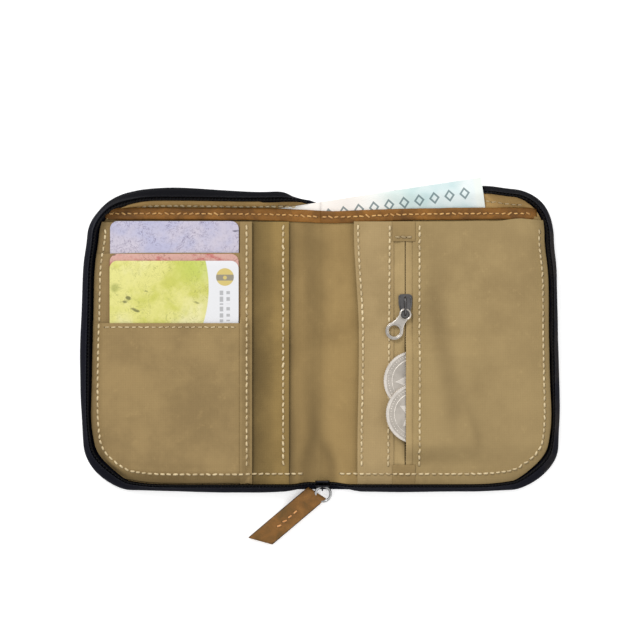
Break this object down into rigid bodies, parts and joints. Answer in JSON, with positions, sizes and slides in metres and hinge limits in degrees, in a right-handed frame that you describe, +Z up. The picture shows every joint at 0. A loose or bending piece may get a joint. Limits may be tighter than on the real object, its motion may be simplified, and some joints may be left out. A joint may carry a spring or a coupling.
{
  "type": "bifold wallet",
  "caption": "Open zip-around bifold wallet with card slots, slip pocket, note compartment, zipped coin pocket and leather-tagged zip pull.",
  "frame": {"origin": "centre of the spine's outer face, on the surface that the open wallet lies on", "axes": "+X across the open wallet towards the coin pocket, +Y towards the banknote opening, +Z up out of the lining"},
  "size_m": [0.199, 0.1551, 0.0096],
  "materials": {
    "navy_cloth": "dense woven cloth, matt",
    "board": "plain stiff board",
    "tan_leather": "waxed vegetable-tanned leather, satin",
    "zip_tape": "woven zip tape, matt",
    "coin_zip_cloth": "woven zip tape, matt",
    "zip_coil": "nylon coil",
    "coin_zip_coil": "nylon coil",
    "note_paper": "printed paper",
    "lavender_card": "laminated card, satin",
    "pink_card": "laminated card, satin",
    "yellow_card": "laminated card, satin",
    "coin_metal": "worn cupronickel",
    "bright_metal": "nickel plated, polished",
    "khaki_canvas": "waxed cotton canvas, matt"
  },
  "bodies": {
    "left_half": {"outer_cover_left": "navy_cloth", "stiffener_left": "board", "bill_lining_left": "khaki_canvas", "inner_panel_left": "khaki_canvas", "leather_trim_left": "tan_leather", "slip_pocket_panel": "khaki_canvas", "card_backing_panel": "khaki_canvas", "card_slot_upper": "khaki_canvas", "card_slot_lower": "khaki_canvas", "zip_band_left": "zip_tape", "zip_coil_left": "zip_coil", "banknote_left": "note_paper"},
    "spine": {"outer_cover_spine": "navy_cloth", "bill_lining_spine": "khaki_canvas", "inner_panel_spine": "khaki_canvas", "leather_trim_spine": "tan_leather", "banknote_spine": "note_paper"},
    "right_half": {"outer_cover_right": "navy_cloth", "stiffener_right": "board", "bill_lining_right": "khaki_canvas", "inner_panel_right": "khaki_canvas", "leather_trim_right": "tan_leather", "banknote_right": "note_paper", "coin_pocket_back": "khaki_canvas", "coin_panel_left": "khaki_canvas", "coin_panel_right": "khaki_canvas", "coin_zip_tape_left": "coin_zip_cloth", "coin_zip_coil_left": "coin_zip_coil", "coin_zip_tape_right": "coin_zip_cloth", "coin_zip_coil_right": "coin_zip_coil", "coin_zip_tab_top": "khaki_canvas", "coin_zip_tab_bottom": "khaki_canvas", "zip_band_right": "zip_tape", "zip_coil_right": "zip_coil"},
    "main_slider": {"main_slider": "bright_metal"},
    "pull_ring": {"pull_ring": "bright_metal"},
    "pull_tag": {"pull_tag": "tan_leather"},
    "coin_slider": {"coin_slider": "bright_metal"},
    "coin_pull_tab": {"coin_pull_tab": "bright_metal"},
    "card_lavender": {"card_lavender": "lavender_card"},
    "card_pink": {"card_pink": "pink_card"},
    "card_yellow": {"card_yellow": "yellow_card"},
    "coin_upper": {"coin_upper": "coin_metal"},
    "coin_lower": {"coin_lower": "coin_metal"}
  },
  "joints": [
    {"name": "spine_fold", "type": "hinge", "parent": "left_half", "child": "spine", "pos_m": [-0.0087, 0, 0.0005], "axis": [0, -1, 0], "range_deg": [0, 90]},
    {"name": "cover_fold", "type": "hinge", "parent": "spine", "child": "right_half", "pos_m": [0.0087, 0, 0.0005], "axis": [0, -1, 0], "range_deg": [0, 90]},
    {"name": "main_slider_travel", "type": "slide", "parent": "spine", "child": "main_slider", "axis": [0, 0, 1], "range_m": [0, 0.062]},
    {"name": "pull_ring_swing", "type": "hinge", "parent": "main_slider", "child": "pull_ring", "pos_m": [0.0006, -0.0619, 0.00175], "axis": [-1, 0, 0], "range_deg": [-75, 60]},
    {"name": "pull_tag_swing", "type": "hinge", "parent": "pull_ring", "child": "pull_tag", "pos_m": [-0.0018, -0.06709, 0.00175], "axis": [0.6468, -0.7627, 0], "range_deg": [-70, 57]},
    {"name": "coin_slider_travel", "type": "slide", "parent": "right_half", "child": "coin_slider", "axis": [0, 1, 0], "range_m": [-0.0055, 0.02]},
    {"name": "coin_pull_tab_flip", "type": "hinge", "parent": "coin_slider", "child": "coin_pull_tab", "pos_m": [0.03649, 0.01275, 0.006], "axis": [0.8526, -0.5225, 0], "range_deg": [-48, 0]},
    {"name": "card_lavender_slide", "type": "slide", "parent": "left_half", "child": "card_lavender", "axis": [0, 1, 0], "range_m": [0, 0.008]},
    {"name": "card_pink_slide", "type": "slide", "parent": "left_half", "child": "card_pink", "axis": [0, 1, 0], "range_m": [0, 0.02]},
    {"name": "card_yellow_slide", "type": "slide", "parent": "left_half", "child": "card_yellow", "axis": [0, 1, 0], "range_m": [0, 0.02]},
    {"name": "coin_upper_slide", "type": "slide", "parent": "right_half", "child": "coin_upper", "axis": [1, 0, 0], "range_m": [0, 0.014]},
    {"name": "coin_lower_slide", "type": "slide", "parent": "right_half", "child": "coin_lower", "axis": [1, 0, 0], "range_m": [0, 0.014]}
  ],
  "couplings": [
    {"joint": "cover_fold", "follows": "spine_fold", "ratio": 1},
    {"joint": "main_slider_travel", "follows": "spine_fold", "m_per_rad": 0.0394}
  ]
}
